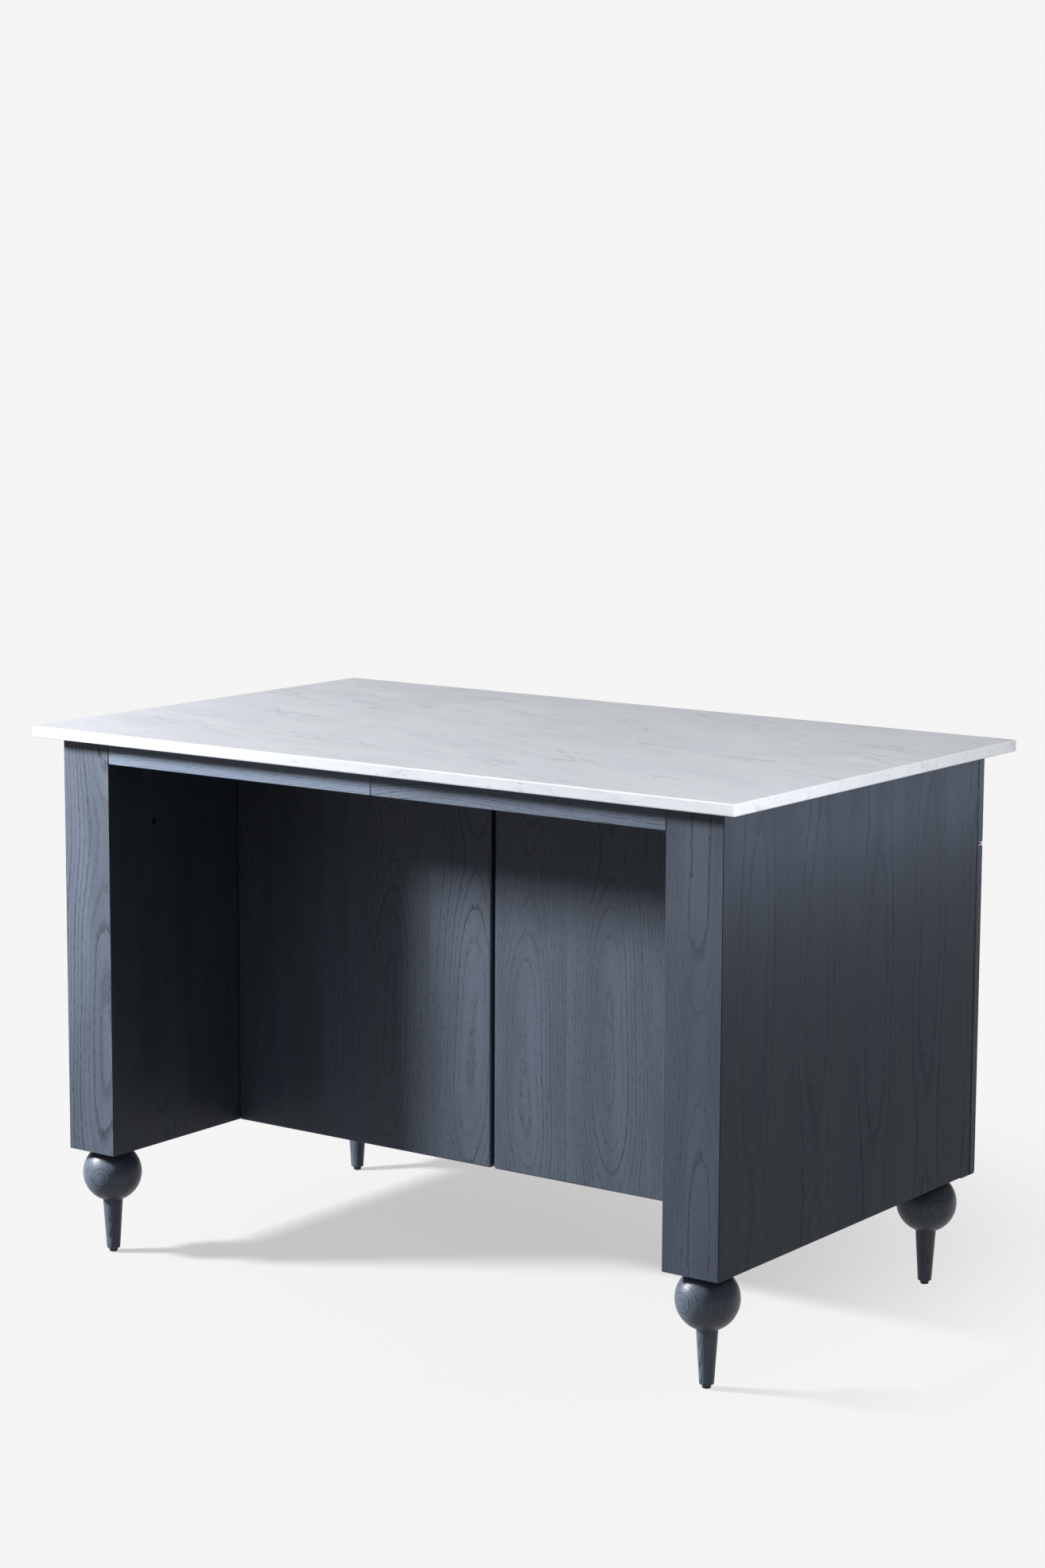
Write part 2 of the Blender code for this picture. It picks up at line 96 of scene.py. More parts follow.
# Light
STUDIO_WHITE = 0.910  # how bright the floor and the backdrop look
KEY_PLACE = Vector((-2.19, -1.6, 1.67))
KEY_AIM = Vector((0.0, -0.1, 0.55))
KEY_SIZE = 0.42
KEY_POWER = 214.0
STONE_KEY_POWER = 160.0
FLOOR_COLOUR = 0.002  # near the object, times the cube of the distance from the key
FLOOR_WARMTH = 0.012  # how much redder the floor near the object is
FLOOR_LIGHT = 0.325  # how much of the white the lamp makes there, and not the glow
FLOOR_FILL = 0.77  # light from the surroundings on the floor
FLOOR_FADE_X = (0.25, 1.10)  # where the lamp's part of the white fades out, in X, in Y,
FLOOR_FADE_Y = (0.4, 1.6)  # and in the cube of the distance from the key
FLOOR_FADE_CUBED = (30.0, 90.0)
FLOOR_HALF = 60.0
FLOOR_BELOW = 0.0002  # under the glides
FLOOR_TRIM = 1.03  # brings the lit floor level with the floor farther off
FLOOR_POWER = FLOOR_TRIM * FLOOR_LIGHT * 4 * math.pi**2 / (FLOOR_COLOUR * KEY_PLACE.z)
STONE_FILL_PLACE = Vector((2.4, -1.1, 1.60))
STONE_FILL_SIZE = 1.0
STONE_FILL_POWER = 70.0
DOOR_FILL_PLACE = Vector((-1.3, 3.1, 1.5))
DOOR_FILL_SIZE = 1.6
DOOR_FILL_POWER = 38.0
LIT_FROM_BEHIND = ("door", "drawer", "slide", "shelf", "cabinet")
LIT_FROM_BEHIND += ("turned_door", "turned_drawer", "turned_foot_rear", "screw_d")
END_FILL_REACH = 0.18  # from the end panel
END_FILL_HEIGHT = 0.86
END_FILL_SIZE = (1.8, 0.06)
END_FILL_POWER = 1.75
LIT_FROM_RIGHT = ("end_panel_right", "drawer_front_right", "door_outer_right")
ROOM_BELOW = (0.076, 0.072, 0.072, 1.0)
ROOM_ABOVE = (0.92, 0.93, 0.95, 1.0)
ROOM_RIGHT = 0.41  # how bright the room is on the right, beside the left

# Turned pieces, in the CAD's sizes
GAP = 0.0003
BALL_RADIUS = 0.0502
BALL_HEIGHT = 0.141
PEG_TOP_RADIUS = 0.0172
PEG_BOTTOM_RADIUS = 0.0115
PEG_EDGE = 0.0018
NECK_CUT = 0.0002  # where the ball meets the peg
NECK_HEIGHT = 0.0012
TENON_RADIUS = 0.0095
KNOB_RADIUS = 0.0135
KNOB_PROJECTION = 0.032
KNOB_NECK_RADIUS = 0.0060
KNOB_BASE_RADIUS = 0.0075
KNOB_EDGE = 0.0004
KNOB_FLARE_POWER = 2.2  # how late the neck widens

# Screw heads, as shares of their radius and height
SOCKET_RADIUS = 0.34
SOCKET_DEPTH = 0.6
SOCKET_RIM = 0.96
HEAD_EDGE = 0.25

# Small hardware
KNOB_SCREW_RADIUS = 0.0042
KNOB_SCREW_HEIGHT = 0.0016
PIN_RADIUS = 0.0025
PIN_LENGTH = 0.0095
PIN_EDGE = 0.0005
PIN_COLLAR_RADIUS = 0.0042
PIN_COLLAR_THICKNESS = 0.0012
PIN_FROM_EDGE = 0.050
BUMPER_RADIUS = 0.0028
BUMPER_HEIGHT = 0.0026
BUMPER_FROM_EDGE = 0.014
PIVOT_SCREW_RADIUS = 0.0030
PIVOT_SCREW_HEIGHT = 0.0014
PIVOT_SCREW_FROM_SIDE = 0.0075
PIVOT_SCREW_FROM_BACK = (0.007, 0.018)

# Stained oak, from its latewood to its pores
OAK_LIGHT = (0.066, 0.083, 0.114, 1.0)
OAK_MIDDLE = (0.0545, 0.069, 0.0955, 1.0)
OAK_DARK = (0.005, 0.011, 0.022, 1.0)
ARCH_HEIGHT = 0.31  # from the middle of one oval of the figure to the next waist
LEAF_SLIP = 0.12  # how much the ovals of neighbouring leaves differ in height

# Which of X, Y and Z runs across a board's face, through it, and along its grain
UPRIGHT_FRONT = ("X", "Y", "Z")
UPRIGHT_SIDE = ("Y", "X", "Z")
LYING_FRONT = ("Z", "Y", "X")
LYING_FLAT = ("Y", "Z", "X")
LYING_DEEP = ("X", "Z", "Y")

# The oak boards, by the way their grain runs
PAIRED_BOARDS = {
    UPRIGHT_FRONT: ("wing_stile_", "back_panel_", "door_inner_", "door_outer_"),
    UPRIGHT_SIDE: ("end_panel_", "wing_inner_"),
    LYING_FRONT: ("apron_", "drawer_front_"),
    LYING_FLAT: ("drawer_rail_", "shelf_", "wing_base_"),
}
SINGLE_BOARDS = {
    "cabinet_back": UPRIGHT_FRONT,
    "centre_divider": UPRIGHT_SIDE,
    "cabinet_floor": LYING_FLAT,
    "cabinet_top": LYING_FLAT,
    "knee_joist": LYING_DEEP,
}

# Widths of the leaves of veneer
LEAF_VENEER = 0.172
LEAF_STILE = 0.230
LEAF_BOARD = 0.300  # wider than the board, so that it is one piece of wood
LEAF_TURNED = 0.25
LEAF_OF_BOARD = {"back_panel_left": 0.173, "back_panel_right": 0.160}

# Where an oval of the figure is, from the board's middle
OVALS = {
    "back_panel_left": Vector((0.235, 0, -0.12)),
    "back_panel_right": Vector((-0.048, 0, -0.14)),
    "wing_stile_left": Vector((0.038, 0, -0.10)),
    "wing_stile_right": Vector((0.012, 0, 0.26)),
}
OVAL_DRIFT_ACROSS = 0.06  # how far the other boards' ovals are off the middle, at most
OVAL_DRIFT_ALONG = 0.12

# How much lighter single boards are painted beside the rest: painted sheen and light that the
# aprons and the left stile catch
PAINTED_LIGHT_TONES = {"apron_left": 2.45, "apron_right": 1.8, "wing_stile_left": 1.03}

# What is particular in the figure of boards whose names start so
FIGURES = {
    "end_panel": {"ring": 0.0046, "pith": 0.150, "sway": 0.002, "bold": 0.32, "gloss": -0.10},
    "wing_stile_left": {"ring": 0.0064, "bold": 1.0, "band": 0.55, "gap": 0.7},
    "wing_stile_right": {"ring": 0.0040, "pith": 0.080, "sway": 0.004, "bold": 0.9, "gap": 0.3},
    "apron": {"ring": 0.0042, "pith": 0.030, "sway": 0.012, "bold": 1.0, "gap": 0.6},
    "wing_inner": {"bold": 0.6},
}

# Figure of the turned pieces, their gloss, and the painted light that lightens the feet
FOOT_FIGURE = {"ring": 0.0018, "pith": 0.14, "sway": 0.0005, "bold": 1.0, "band": 0.62, "gap": 1.0}
FOOT_GLOSS = 0.08
# how much lighter the feet are painted, as painted sheen and light on their lit sides; the front
# right foot is painted lighter still
FOOT_PAINTED_LIGHT = 1.38
FOOT_PAINTED_LIGHT_FRONT_RIGHT = 1.6
KNOB_FIGURE = {"ring": 0.0014, "pith": 0.05, "sway": 0.001, "gap": 0.9}
KNOB_GLOSS = 0.10

# Which way each ball's ring figure faces, in degrees from +X towards +Y
FOOT_FACING = {"front_left": -68, "front_right": -115, "rear_left": -140, "rear_right": -34}

# Marble
MARBLE_LIGHT = (0.568, 0.585, 0.621, 1.0)
MARBLE_GREY = (0.540, 0.557, 0.597, 1.0)
MARBLE_HAZE = (0.605, 0.622, 0.658, 1.0)
MARBLE_VEIN = (0.33, 0.35, 0.39, 1.0)
MARBLE_FLECK = (0.25, 0.27, 0.31, 1.0)
MARBLE_LEAN = math.radians(20)  # between the veins and the slab's length

# Other finishes
BIRCH_LIGHT = (0.62, 0.46, 0.29, 1.0)
BIRCH_DARK = (0.50, 0.345, 0.20, 1.0)
ZINC_COLOURS = ((0.63, 0.64, 0.65, 1.0), (0.50, 0.51, 0.53, 1.0))
BLACK_ZINC_COLOURS = ((0.075, 0.078, 0.085, 1.0), (0.045, 0.047, 0.052, 1.0))
PLASTIC_DARK = (0.016, 0.014, 0.013, 1.0)
PLASTIC_SCUFFED = (0.045, 0.038, 0.034, 1.0)

# Eased edges, on the boards and the stone
EASED = ("end_panel_", "wing_stile_", "wing_inner_", "back_panel_", "apron_", "drawer_front_")
EASED += ("door_inner_", "door_outer_", "shelf_", "marble_top")
EASE_WOOD = 0.0009
EASE_STONE = 0.0014
EASE_ANGLE = math.radians(50)
WELD_DISTANCE = 0.00001


class Shading:
    """Short ways to add nodes to a material or a node group and to join them."""

    def __init__(self, tree):
        self.tree = tree

    def feed(self, socket, value):
        if isinstance(value, bpy.types.NodeSocket):
            self.tree.links.new(value, socket)
        else:
            socket.default_value = value

    def node(self, kind, inputs=None, **settings):
        node = self.tree.nodes.new(kind)
        for name, value in settings.items():
            setattr(node, name, value)
        for name, value in (inputs or {}).items():
            self.feed(node.inputs[name], value)
        return node

    def math(self, operation, *values):
        node = self.node("ShaderNodeMath", operation=operation)
        for socket, value in zip(node.inputs, values):
            self.feed(socket, value)
        return node.outputs[0]

    def add(self, a, b):
        return self.math("ADD", a, b)

    def times(self, a, b):
        return self.math("MULTIPLY", a, b)

    def vector(self, x, y, z):
        return self.node("ShaderNodeCombineXYZ", {0: x, 1: y, 2: z}).outputs[0]

    def noise(self, vector, scale=1.0, detail=2.0, roughness=0.5, distortion=0.0):
        """A smooth random field, mostly between 0.25 and 0.75."""
        inputs = {
            "Vector": vector,
            "Scale": scale,
            "Detail": detail,
            "Roughness": roughness,
            "Distortion": distortion,
        }
        return self.node("ShaderNodeTexNoise", inputs).outputs["Fac"]

    def step(self, value, low, high, to_low=0.0, to_high=1.0):
        """A smooth step from to_low at low to to_high at high."""
        node = self.node("ShaderNodeMapRange", interpolation_type="SMOOTHSTEP")
        for socket, number in zip(node.inputs, (value, low, high, to_low, to_high)):
            self.feed(socket, number)
        return node.outputs[0]

    def mix(self, share, a, b):
        """The colour a, going over to b as share goes from 0 to 1."""
        node = self.node("ShaderNodeMix", data_type="RGBA")
        colours = [socket for socket in node.inputs if socket.type == "RGBA"]
        self.feed(node.inputs["Factor"], share)
        self.feed(colours[0], a)
        self.feed(colours[1], b)
        return next(socket for socket in node.outputs if socket.type == "RGBA")

    def brighten(self, colour, factor):
        """Multiplies a colour by a number."""
        scaled = self.node("ShaderNodeVectorMath", operation="SCALE")
        self.feed(scaled.inputs[0], colour)
        self.feed(scaled.inputs["Scale"], factor)
        return scaled.outputs[0]


def new_material(name):
    """A material with an empty node tree, its Principled shader, and short ways to add nodes."""
    material = bpy.data.materials.new(name)
    material.use_nodes = True
    tree = material.node_tree
    tree.nodes.clear()
    shading = Shading(tree)
    shader = shading.node("ShaderNodeBsdfPrincipled")
    output = shading.node("ShaderNodeOutputMaterial")
    tree.links.new(shader.outputs[0], output.inputs["Surface"])
    return material, shader, shading


def new_group(name, numbers, results):
    """A node group with float inputs and outputs, and short ways to add nodes to it."""
    group = bpy.data.node_groups.new(name, "ShaderNodeTree")
    for number in numbers:
        group.interface.new_socket(number, in_out="INPUT", socket_type="NodeSocketFloat")
    for result in results:
        group.interface.new_socket(result, in_out="OUTPUT", socket_type="NodeSocketFloat")
    given = group.nodes.new("NodeGroupInput")
    made = group.nodes.new("NodeGroupOutput")
    return group, Shading(group), given.outputs, made.inputs


def make_oak_figure():
    """Growth rings, pores and fibres of oak, cut into leaves of veneer.

    Each leaf is a slice through a trunk whose pith wanders behind the leaf, which gives the
    tall arches and closed ovals of flat-sawn wood. Pith is its distance behind the leaf, Ring
    the width of a year, Sway how far the pith wanders, Band the share of a year that is open
    earlywood, and Gap how dark the lines stay where they fade.
    """
    numbers = ("Across", "Depth", "Along", "Leaf", "Ring", "Pith", "Sway", "Band", "Gap", "Seed")
    group, s, given, made = new_group("oak_figure", numbers, ("Line", "Fibre", "Pore", "Cloud"))
    along, seed = given["Along"], given["Seed"]

    place = s.add(s.math("DIVIDE", given["Across"], given["Leaf"]), 0.5)
    leaf = s.math("FLOOR", place)
    across = s.times(s.math("SUBTRACT", s.math("FRACT", place), 0.5), given["Leaf"])
    own = s.add(seed, s.times(leaf, 0.41))

    chance = s.node("ShaderNodeTexWhiteNoise", {"W": own}, noise_dimensions="1D").outputs[0]
    height = s.add(along, s.times(s.math("SUBTRACT", chance, 0.5), LEAF_SLIP))
    bow = s.math("COSINE", s.times(height, math.pi / ARCH_HEIGHT))
    wander = s.noise(s.vector(s.times(along, 3.3), own, 0.0), detail=1.0)
    lean = s.noise(s.vector(s.times(along, 1.4), own, 7.3), detail=1.0)
    rise = s.math("SUBTRACT", 1.0, bow)
    swing = s.add(s.times(s.times(rise, rise), 0.5), s.times(wander, 0.7))
    pith = s.add(given["Pith"], s.times(swing, given["Sway"]))
    pith = s.add(pith, given["Depth"])
    aside = s.times(s.math("SUBTRACT", lean, 0.5), s.times(given["Leaf"], 0.35))
    aside = s.math("SUBTRACT", across, aside)
    reach = s.math("SQRT", s.add(s.times(aside, aside), s.times(pith, pith)))
    ripple = s.noise(s.vector(s.times(across, 22.0), own, s.times(along, 9.0)), detail=4.0)
    shiver = s.noise(s.vector(s.times(across, 160.0), own, s.times(along, 45.0)), detail=2.0)
    rough = s.add(s.times(ripple, 0.85), s.times(shiver, 0.33))
    rings = s.add(s.math("DIVIDE", reach, given["Ring"]), rough)
    within = s.math("FRACT", rings)
    year = s.math("FLOOR", rings)

    strength = s.node("ShaderNodeTexWhiteNoise", {"W": year}, noise_dimensions="1D").outputs[0]
    earlywood = s.times(s.step(within, 0.0, 0.03), s.step(within, 0.03, given["Band"], 1.0, 0.0))
    grain = s.vector(s.times(across, 520.0), s.times(given["Depth"], 520.0), s.times(along, 70.0))
    dashes = s.step(s.noise(grain, detail=2.0, roughness=0.6), 0.38, 0.58)
    line = s.times(earlywood, s.step(strength, 0.30, 0.80, 0.07, 1.0))
    line = s.times(line, s.add(0.15, s.times(dashes, 0.85)))
    patches = s.vector(s.times(across, 11.0), own, s.times(along, 3.2))
    line = s.times(line, s.step(s.noise(patches, detail=2.0), 0.38, 0.62, given["Gap"], 1.0))

    fine = s.vector(s.times(across, 850.0), s.times(given["Depth"], 850.0), s.times(along, 70.0))
    threshold = s.step(earlywood, 0.0, 1.0, 0.63, 0.47)
    pores = s.noise(fine, detail=1.0)
    pore = s.step(s.math("SUBTRACT", pores, threshold), 0.0, 0.10)

    threads = s.vector(s.times(across, 520.0), s.times(given["Depth"], 520.0), s.times(along, 9.0))
    clouds = s.vector(s.times(across, 17.0), own, s.times(along, 2.6))
    s.feed(made["Line"], line)
    s.feed(made["Fibre"], s.noise(threads, detail=3.0, roughness=0.65))
    s.feed(made["Pore"], pore)
    s.feed(made["Cloud"], s.noise(clouds, detail=2.0))
    return group


OAK_FIGURE = make_oak_figure()


def oak_material(
    name,
    axes,
    centre,
    leaf,
    seed,
    ring=0.0052,
    pith=0.060,
    sway=0.009,
    band=0.36,
    gap=0.15,
    bold=0.85,
    painted_light=1.0,
    gloss=0.0,
    turn=0.0,
):
    """Open-grained wood with a dark blue-grey stain under a satin lacquer.

    centre is the middle of an oval of the figure, and turn a twist about a vertical line there.
    bold is how dark the lines are, and gloss how much shinier it is. The lightness factor paints
    the wood lighter, as painted sheen and light that some pieces catch.
    """
    material, shader, s = new_material(name)
    place = s.node("ShaderNodeTexCoord").outputs["Object"]
    if turn:
        turned = {"Vector": place, "Center": centre, "Angle": turn}
        place = s.node("ShaderNodeVectorRotate", turned, rotation_type="Z_AXIS").outputs[0]
    place = s.node("ShaderNodeVectorMath", {0: place, 1: centre}, operation="SUBTRACT").outputs[0]
    xyz = s.node("ShaderNodeSeparateXYZ", {0: place}).outputs
    across, depth, along = (xyz[axis] for axis in axes)
    numbers = {
        "Across": across,
        "Depth": depth,
        "Along": along,
        "Leaf": leaf,
        "Ring": ring,
        "Pith": pith,
        "Sway": sway,
        "Band": band,
        "Gap": gap,
        "Seed": seed,
    }
    figure = s.node("ShaderNodeGroup", node_tree=OAK_FIGURE)
    for socket, value in numbers.items():
        s.feed(figure.inputs[socket], value)
    line, fibre, pore, cloud = (figure.outputs[n] for n in ("Line", "Fibre", "Pore", "Cloud"))

    colour = s.mix(s.step(fibre, 0.1, 0.9), OAK_MIDDLE, OAK_LIGHT)
    colour = s.mix(s.times(line, bold), colour, OAK_DARK)
    colour = s.mix(s.times(pore, min(0.50, 0.60 * bold)), colour, OAK_DARK)
    # random cloudy tone, times the lightness factor that paints sheen and light onto some pieces
    colour = s.brighten(colour, s.step(cloud, 0.3, 0.7, 0.86 * painted_light, 1.12 * painted_light))
    s.feed(shader.inputs["Base Color"], colour)

    dull = s.add(s.times(line, 0.16), s.times(pore, 0.12))
    satin = s.step(cloud, 0.3, 0.7, 0.42 - gloss, 0.50 - gloss)
    s.feed(shader.inputs["Roughness"], s.add(satin, dull))
    shader.inputs["Specular IOR Level"].default_value = 0.28 + gloss

    relief = s.add(s.times(line, -0.6), s.times(pore, -0.9))
    relief = s.add(relief, s.times(fibre, 0.35))
    bump = s.node("ShaderNodeBump", {"Height": relief, "Distance": 0.00022, "Strength": 0.7})
    s.feed(shader.inputs["Normal"], bump.outputs[0])
    return material


def make_marble():
    """White marble with grey clouds and fine broken veins along the slab."""
    material, shader, s = new_material("marble_polished")
    place = s.node("ShaderNodeTexCoord").outputs["Object"]
    lean = {"Vector": place, "Angle": MARBLE_LEAN}
    place = s.node("ShaderNodeVectorRotate", lean, rotation_type="Z_AXIS").outputs[0]
    xyz = s.node("ShaderNodeSeparateXYZ", {0: place}).outputs
    stretched = s.vector(xyz["X"], s.times(xyz["Y"], 5.0), s.times(xyz["Z"], 5.0))
    warp = s.noise(stretched, scale=1.8, detail=4.0)
    warped = s.node("ShaderNodeVectorMath", {0: stretched}, operation="ADD")
    s.feed(warped.inputs[1], s.vector(0.0, s.times(warp, 0.35), 0.0))
    drawn = warped.outputs[0]

    cloud = s.noise(drawn, scale=2.8, detail=3.0, roughness=0.50, distortion=0.3)
    haze = s.noise(drawn, scale=8.0, detail=5.0, roughness=0.6)
    wave = s.noise(drawn, scale=3.0, detail=5.0, roughness=0.50, distortion=0.6)
    ridge = s.math("ABSOLUTE", s.math("SUBTRACT", wave, 0.5))
    vein = s.step(ridge, 0.0, 0.026, 1.0, 0.0)
    broken = s.step(s.noise(stretched, scale=2.6, detail=3.0), 0.46, 0.64)
    vein = s.times(vein, broken)
    thread = s.noise(drawn, scale=9.0, detail=6.0, roughness=0.66, distortion=0.4)
    thread = s.step(s.math("ABSOLUTE", s.math("SUBTRACT", thread, 0.5)), 0.0, 0.022, 1.0, 0.0)
    dashes = s.vector(s.times(xyz["X"], 22.0), s.times(xyz["Y"], 150.0), s.times(xyz["Z"], 150.0))
    fleck = s.step(s.noise(dashes, detail=3.0), 0.66, 0.75)

    colour = s.mix(s.step(cloud, 0.34, 0.68), MARBLE_LIGHT, MARBLE_GREY)
    colour = s.mix(s.step(haze, 0.36, 0.66, 0.0, 0.50), colour, MARBLE_HAZE)
    colour = s.mix(s.times(vein, 0.42), colour, MARBLE_VEIN)
    colour = s.mix(s.times(thread, 0.06), colour, MARBLE_VEIN)
    colour = s.mix(s.times(fleck, 0.45), colour, MARBLE_FLECK)
    s.feed(shader.inputs["Base Color"], colour)
    polish = s.noise(place, scale=7.0, detail=2.0)
    s.feed(shader.inputs["Roughness"], s.step(polish, 0.3, 0.7, 0.235, 0.265))
    shader.inputs["Subsurface Weight"].default_value = 0.12
    shader.inputs["Subsurface Radius"].default_value = (0.010, 0.010, 0.011)
    shader.inputs["Subsurface Scale"].default_value = 0.4
    relief = s.noise(place, scale=90.0, detail=2.0)
    bump = s.node("ShaderNodeBump", {"Height": relief, "Distance": 0.0004, "Strength": 0.03})
    s.feed(shader.inputs["Normal"], bump.outputs[0])
    return material


def make_pale_wood(name, axes, seed):
    """Clear-lacquered birch of the drawer boxes."""
    material, shader, s = new_material(name)
    place = s.node("ShaderNodeTexCoord").outputs["Object"]
    xyz = s.node("ShaderNodeSeparateXYZ", {0: place}).outputs
    across, depth, along = (xyz[axis] for axis in axes)
    bands = s.vector(s.times(across, 42.0), s.add(s.times(depth, 42.0), seed), s.times(along, 2.4))
    threads = s.vector(s.times(across, 420.0), s.times(depth, 420.0), s.times(along, 11.0))
    band = s.noise(bands, detail=3.0, distortion=0.6)
    thread = s.noise(threads, detail=3.0, roughness=0.6)
    colour = s.mix(s.step(band, 0.35, 0.65), BIRCH_LIGHT, BIRCH_DARK)
    colour = s.brighten(colour, s.step(thread, 0.3, 0.7, 0.86, 1.08))
    s.feed(shader.inputs["Base Color"], colour)
    s.feed(shader.inputs["Roughness"], s.step(thread, 0.3, 0.7, 0.42, 0.58))
    bump = s.node("ShaderNodeBump", {"Height": thread, "Distance": 0.0001, "Strength": 0.5})
    s.feed(shader.inputs["Normal"], bump.outputs[0])
    return material


def make_steel(name, light, dark):
    """Plated sheet with a faint spangle and rolling lines."""
    material, shader, s = new_material(name)
    place = s.node("ShaderNodeTexCoord").outputs["Object"]
    patches = s.noise(place, scale=55.0, detail=4.0, roughness=0.6)
    xyz = s.node("ShaderNodeSeparateXYZ", {0: place}).outputs
    rolled = s.vector(s.times(xyz["X"], 900.0), s.times(xyz["Y"], 18.0), s.times(xyz["Z"], 900.0))
    lines = s.noise(rolled, detail=2.0)
    colour = s.mix(s.step(patches, 0.35, 0.65), dark, light)
    s.feed(shader.inputs["Base Color"], colour)
    shader.inputs["Metallic"].default_value = 1.0
    s.feed(shader.inputs["Roughness"], s.step(lines, 0.3, 0.7, 0.26, 0.42))
    bump = s.node("ShaderNodeBump", {"Height": lines, "Distance": 0.00003, "Strength": 0.5})
    s.feed(shader.inputs["Normal"], bump.outputs[0])
    return material


def make_plastic():
    """Black moulded plastic with a fine matt texture."""
    material, shader, s = new_material("black_glide")
    place = s.node("ShaderNodeTexCoord").outputs["Object"]
    grain = s.noise(place, scale=1600.0, detail=2.0)
    scuffs = s.noise(place, scale=210.0, detail=4.0, roughness=0.7)
    colour = s.mix(s.step(scuffs, 0.45, 0.75), PLASTIC_DARK, PLASTIC_SCUFFED)
    s.feed(shader.inputs["Base Color"], colour)
    s.feed(shader.inputs["Roughness"], s.step(scuffs, 0.3, 0.7, 0.50, 0.68))
    bump = s.node("ShaderNodeBump", {"Height": grain, "Distance": 0.00008, "Strength": 0.6})
    s.feed(shader.inputs["Normal"], bump.outputs[0])
    return material


def finish_node(name, material):
    """Gives a CAD node its material."""
    node = frame["nodes"][name]
    for place in node.material_slots:
        place.link = "OBJECT"
        place.material = material


def middle_of(name):
    low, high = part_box(name)
    return (low + high) / 2


def leaf_width(name):
    """How wide a board's leaves of veneer are."""
    if name.startswith("wing_stile"):
        return LEAF_STILE
    if name.startswith(("apron", "drawer_front", "drawer_rail")):
        return LEAF_BOARD
    return LEAF_OF_BOARD.get(name, LEAF_VENEER)


def finish_boards():
    """Each board's grain direction, veneer leaf and figure."""
    boards = {}
    for axes, stems in PAIRED_BOARDS.items():
        boards.update({stem + word: axes for stem in stems for word in SIDES})
    boards.update(SINGLE_BOARDS)
    for number, (name, axes) in enumerate(boards.items()):
        drift = Vector()  # uneven from board to board, so that no two boards match
        drift["XYZ".index(axes[0])] = OVAL_DRIFT_ACROSS * math.sin(2.3 * number)
        drift["XYZ".index(axes[2])] = OVAL_DRIFT_ALONG * math.sin(1.7 * number)
        centre = middle_of(name) + OVALS.get(name, drift)
        seed = 3.0 + 1.7 * number
        # a lightness factor: painted sheen and light on the aprons and the left stile, 1.0
        # elsewhere
        painted_light = PAINTED_LIGHT_TONES.get(name, 1.0)
        figure = next((FIGURES[stem] for stem in FIGURES if name.startswith(stem)), {})
        material = oak_material(
            "oak_" + name, axes, centre, leaf_width(name), seed, painted_light=painted_light, **figure
        )
        finish_node(name, material)


def ease_edges():
    """Takes the sharpness off the edges of the boards and the stone."""
    for name, node in frame["nodes"].items():
        if name.startswith(EASED):
            weld = node.modifiers.new("weld", "WELD")
            weld.merge_threshold = WELD_DISTANCE
            bevel = node.modifiers.new("eased", "BEVEL")
            bevel.width = EASE_STONE if name == "marble_top" else EASE_WOOD
            bevel.segments = 2
            bevel.limit_method = "ANGLE"
            bevel.angle_limit = EASE_ANGLE
            bevel.harden_normals = True


def finish_other_nodes():
    """The stone, the drawer boxes, the metal and the glides, and small hardware."""
    zinc = make_steel("zinc_plate", *ZINC_COLOURS)
    black_zinc = make_steel("black_zinc", *BLACK_ZINC_COLOURS)
    plastic = make_plastic()
    finish_node("marble_top", make_marble())
    box_sides = make_pale_wood("birch_sides", ("Z", "X", "Y"), 1.0)
    box_backs = make_pale_wood("birch_backs", ("Z", "Y", "X"), 5.0)
    box_bottoms = make_pale_wood("birch_bottoms", ("Y", "Z", "X"), 9.0)
    for name in frame["nodes"]:
        if name.startswith("drawer_side"):
            finish_node(name, box_sides)
        elif name.startswith("drawer_back"):
            finish_node(name, box_backs)
        elif name.startswith("drawer_bottom"):
            finish_node(name, box_bottoms)
        elif name.startswith("slide_"):
            finish_node(name, zinc)
        elif name.startswith("pivot_"):
            finish_node(name, black_zinc)
        elif name.startswith("glide"):
            finish_node(name, plastic)
    make_knob_screws(zinc)
    make_shelf_pins(zinc)
    make_door_bumpers(plastic)
    make_pivot_screws(black_zinc)


def turned(name, profile, segments=96):
    """A mesh turned about Z from (radius, height) points that run down the outer side."""
    bm = bmesh.new()
    points = [bm.verts.new((radius, 0, height)) for radius, height in profile]
    edges = [bm.edges.new(pair) for pair in zip(points, points[1:])]
    bmesh.ops.spin(
        bm,
        geom=points + edges,
        axis=(0, 0, 1),
        cent=(0, 0, 0),
        angle=math.tau,
        steps=segments,
        use_merge=True,
    )
    bmesh.ops.remove_doubles(bm, verts=bm.verts[:], dist=0.000005)
    bmesh.ops.recalc_face_normals(bm, faces=bm.faces[:])
    mesh = bpy.data.meshes.new(name)
    bm.to_mesh(mesh)
    bm.free()
    mesh.shade_smooth()
    mesh.set_sharp_from_angle(angle=math.radians(40))
    return mesh


def add_piece(name, mesh, material, body):
    """An object of the scene's own that rides on a body."""
    mesh.materials.append(material)
    piece = bpy.data.objects.new(name, mesh)
    bpy.context.scene.collection.objects.link(piece)
    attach(piece, body)
    return piece


def arc(middle, radius, start, end, steps):
    """Points of (radius, height) along an arc, with angles from the top of the axis."""
    angles = [math.radians(start + (end - start) * i / steps) for i in range(steps + 1)]
    return [(middle[0] + radius * math.sin(a), middle[1] + radius * math.cos(a)) for a in angles]


